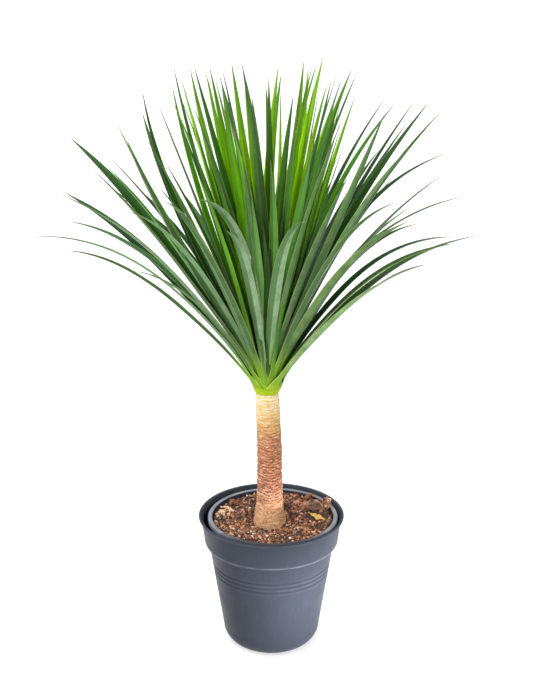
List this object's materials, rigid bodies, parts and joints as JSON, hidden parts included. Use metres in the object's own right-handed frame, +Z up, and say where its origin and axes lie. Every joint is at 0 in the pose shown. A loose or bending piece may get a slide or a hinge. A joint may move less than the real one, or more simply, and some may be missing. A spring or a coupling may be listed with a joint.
{
  "type": "potted dragon tree",
  "caption": "Potted dragon tree: a rosette of arching strap leaves on a ringed stem, rooted in compost in a grow pot that stands in a dark moulded cover pot.",
  "frame": {"origin": "centre of the cover pot's underside, on the surface it stands on", "axes": "+Z up along the pot's axis, -Y the front from which the picture was taken, +X to the right"},
  "size_m": [0.6101, 0.5491, 0.772],
  "materials": {
    "cover_pot": "satin slate-grey moulded plastic",
    "grow_pot": "satin grey plastic",
    "compost": "coarse damp peat and bark with white perlite",
    "stem": "dry ringed bark, cream at the top, rust brown in the middle and tan at the foot",
    "leaf_crown": "waxy leaf, bright yellow-green in the heart and blue-green outside, lime at the bases",
    "bark": "rough damp bark",
    "dry_flake": "dry yellow leaf scrap",
    "pale_scrap": "dry tan bark fibre"
  },
  "bodies": {
    "root": {"cover_pot": "cover_pot", "grow_pot": "grow_pot", "compost": "compost", "stem": "stem", "leaf_crown": "leaf_crown", "bark_clod": "bark", "bark_chunk": "bark", "dry_flake": "dry_flake", "pale_scrap_0": "pale_scrap", "pale_scrap_1": "pale_scrap"}
  },
  "joints": []
}
